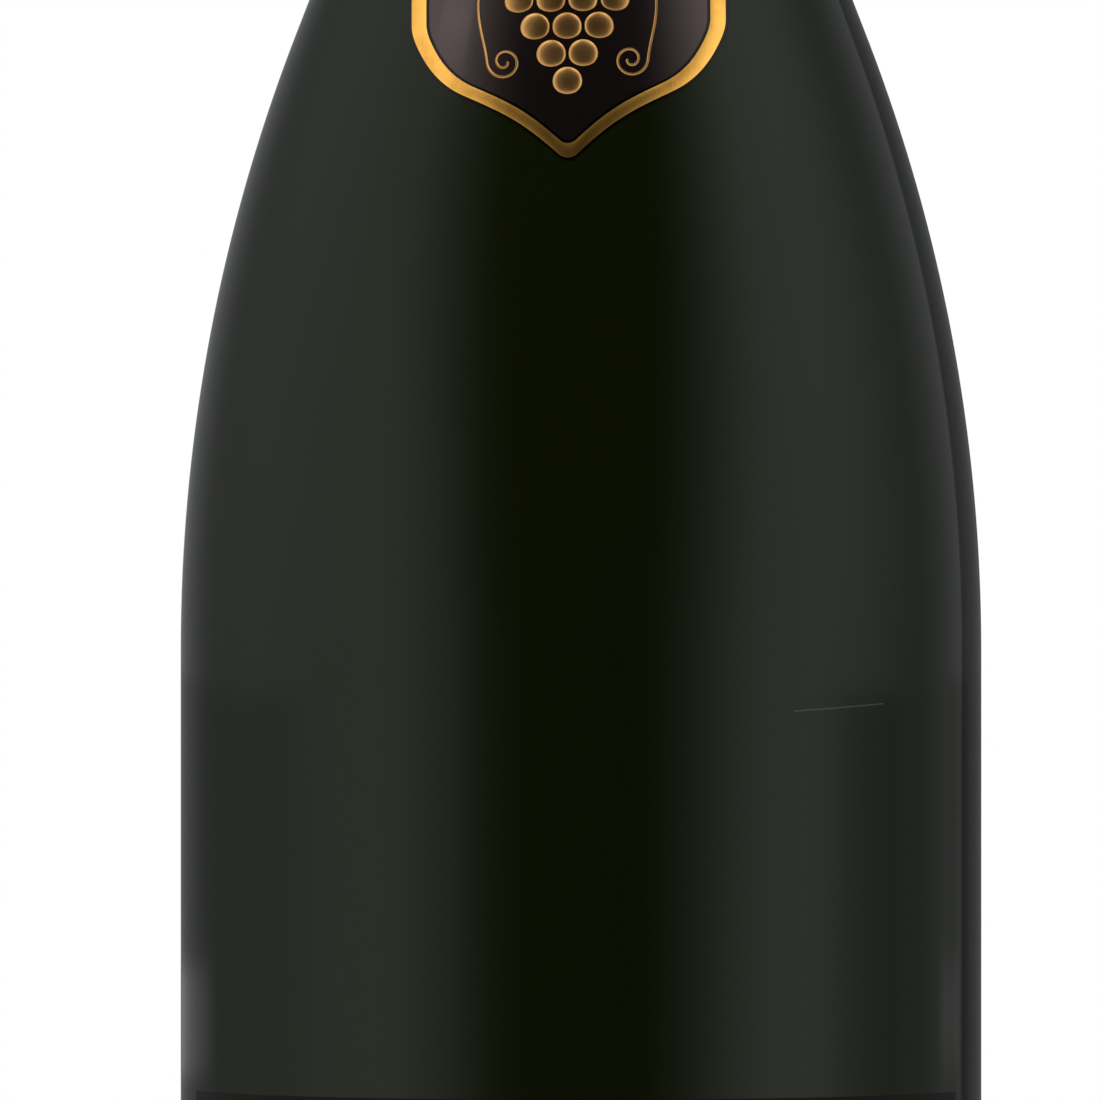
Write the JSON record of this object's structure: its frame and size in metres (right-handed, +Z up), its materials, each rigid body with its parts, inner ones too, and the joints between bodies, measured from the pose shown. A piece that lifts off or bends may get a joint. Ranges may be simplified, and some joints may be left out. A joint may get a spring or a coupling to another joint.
{
  "type": "champagne bottle",
  "caption": "Sealed sparkling wine bottle: dark glass with a punt, cork under a plaque and wire cage, foil with a tear strip, neck and body labels.",
  "frame": {"origin": "centre of the base, on the plane of the bearing ring that the bottle stands on", "axes": "+Z up the bottle's axis, -Y towards the front labels, +X to the right seen from the front"},
  "size_m": [0.089, 0.0893, 0.3156],
  "materials": {
    "bottle_glass": "gloss",
    "wine": "clear liquid",
    "agglomerated_cork": "matt, granular",
    "natural_cork": "matt",
    "lacquered_tinplate": "gloss lacquer",
    "galvanised_wire": "bright drawn wire",
    "capsule_foil": "satin gold lacquer",
    "strip_foil": "satin dark lacquer",
    "label_paper": "satin coated paper",
    "stamped_gold": "bright pressed foil"
  },
  "bodies": {
    "bottle": {"glass_bottle": "bottle_glass", "wine": "wine", "foil_skirt": "capsule_foil", "neck_label": "label_paper", "neck_label_border": "stamped_gold", "neck_label_vine": "stamped_gold", "body_label": "label_paper", "body_label_frame": "stamped_gold", "body_label_vine": "stamped_gold", "back_label": "label_paper"},
    "tear_strip": {"foil_tear_strip": "strip_foil"},
    "tear_tab": {"foil_tear_tab": "strip_foil"},
    "cork": {"cork_body": "agglomerated_cork", "cork_disc_upper": "natural_cork", "cork_disc_lower": "natural_cork"},
    "wire_cage": {"plaque": "lacquered_tinplate", "cage_crown_ring": "galvanised_wire", "cage_leg_front_right": "galvanised_wire", "cage_leg_back_right": "galvanised_wire", "cage_leg_back_left": "galvanised_wire", "cage_leg_front_left": "galvanised_wire", "cage_belt_wire": "galvanised_wire"},
    "foil_cap": {"foil_hood": "capsule_foil"}
  },
  "joints": [
    {"name": "cork_pull", "type": "slide", "parent": "bottle", "child": "cork", "axis": [0, 0, 1], "range_m": [0, 0.045], "deforming": ["cage_leg_front_right", "cage_leg_back_right", "cage_leg_back_left", "cage_leg_front_left", "cage_belt_wire"]},
    {"name": "cage_lift", "type": "slide", "parent": "cork", "child": "wire_cage", "axis": [0, 0, 1], "range_m": [0, 0.045]},
    {"name": "foil_hood_lift", "type": "slide", "parent": "wire_cage", "child": "foil_cap", "axis": [0, 0, 1], "range_m": [0, 0.05]},
    {"name": "tear_strip_pull", "type": "hinge", "parent": "bottle", "child": "tear_strip", "pos_m": [0, 0, 0.2724], "axis": [0, 0, 1], "range_deg": [0, 350]},
    {"name": "tear_tab_fold", "type": "hinge", "parent": "tear_strip", "child": "tear_tab", "pos_m": [-0.01193, -0.01473, 0.2724], "axis": [0, 0, 1], "range_deg": [0, 110]}
  ]
}
